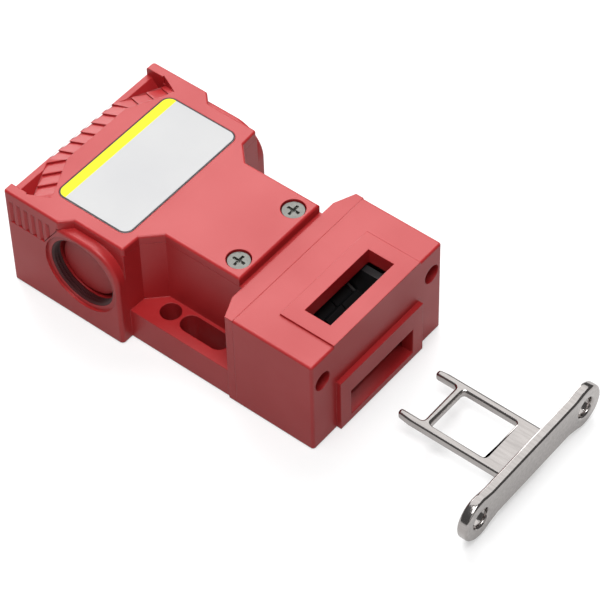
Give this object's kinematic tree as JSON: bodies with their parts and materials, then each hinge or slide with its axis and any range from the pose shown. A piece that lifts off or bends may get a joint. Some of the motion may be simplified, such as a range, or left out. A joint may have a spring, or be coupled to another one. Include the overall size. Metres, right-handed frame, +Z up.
{
  "type": "tongue interlock switch",
  "caption": "Red moulded safety switch with a screwed lid, side cable entries, a two-mouth actuating head and a separate steel tongue key that slides in to turn its cams.",
  "frame": {"origin": "On the base plane, midway between the two round fixing holes.", "axes": "+X runs from the cable chamber to the head and the key, +Y to the left seen from the cable end, +Z up from the mounting face to the lid."},
  "size_m": [0.1347, 0.054, 0.0308],
  "materials": {
    "red_housing": "moulded red thermoplastic, fine satin texture",
    "black_plastic": "black glass-filled plastic",
    "cam_plastic": "dark acetal",
    "key_steel": "tumbled stainless steel",
    "screw_steel": "bright zinc-plated steel",
    "spring_steel": "drawn spring wire",
    "seal_rubber": "black elastomer",
    "contact_brass": "stamped brass with silver pads",
    "clamp_steel": "zinc-plated clamp",
    "label_film": "printed film"
  },
  "bodies": {
    "switch_body": {"base_housing": "red_housing", "lid": "red_housing", "lid_gasket": "seal_rubber", "rating_plate": "label_film", "lid_screws": "screw_steel", "head_body": "red_housing", "head_screws": "screw_steel", "cam_cage": "black_plastic", "plunger_seal": "seal_rubber", "contact_tray": "black_plastic", "contact_cover": "black_plastic", "fixed_contacts": "contact_brass", "wire_clamps": "clamp_steel", "terminal_screws": "screw_steel", "plunger_spring": "spring_steel"},
    "key": {"tongue_key": "key_steel"},
    "cam_set": {"cam_left": "cam_plastic", "cam_right": "cam_plastic", "cam_axle": "screw_steel", "cam_spring": "spring_steel"},
    "plunger_set": {"plunger": "black_plastic", "contact_carrier": "black_plastic", "moving_bridges": "contact_brass", "contact_springs": "spring_steel"}
  },
  "joints": [
    {"name": "key_slide", "type": "slide", "parent": "switch_body", "child": "key", "axis": [-1, 0, 0], "range_m": [0, 0.0388]},
    {"name": "cam_turn", "type": "hinge", "parent": "switch_body", "child": "cam_set", "pos_m": [0.031, 0, 0.0144], "axis": [0, 1, 0], "range_deg": [0, 85]},
    {"name": "plunger_slide", "type": "slide", "parent": "switch_body", "child": "plunger_set", "axis": [1, 0, 0], "range_m": [0, 0.0023]}
  ],
  "couplings": [
    {"joint": "cam_turn", "follows": "key_slide", "rad_per_m": 38.235},
    {"joint": "plunger_slide", "follows": "key_slide", "ratio": 0.059278}
  ]
}
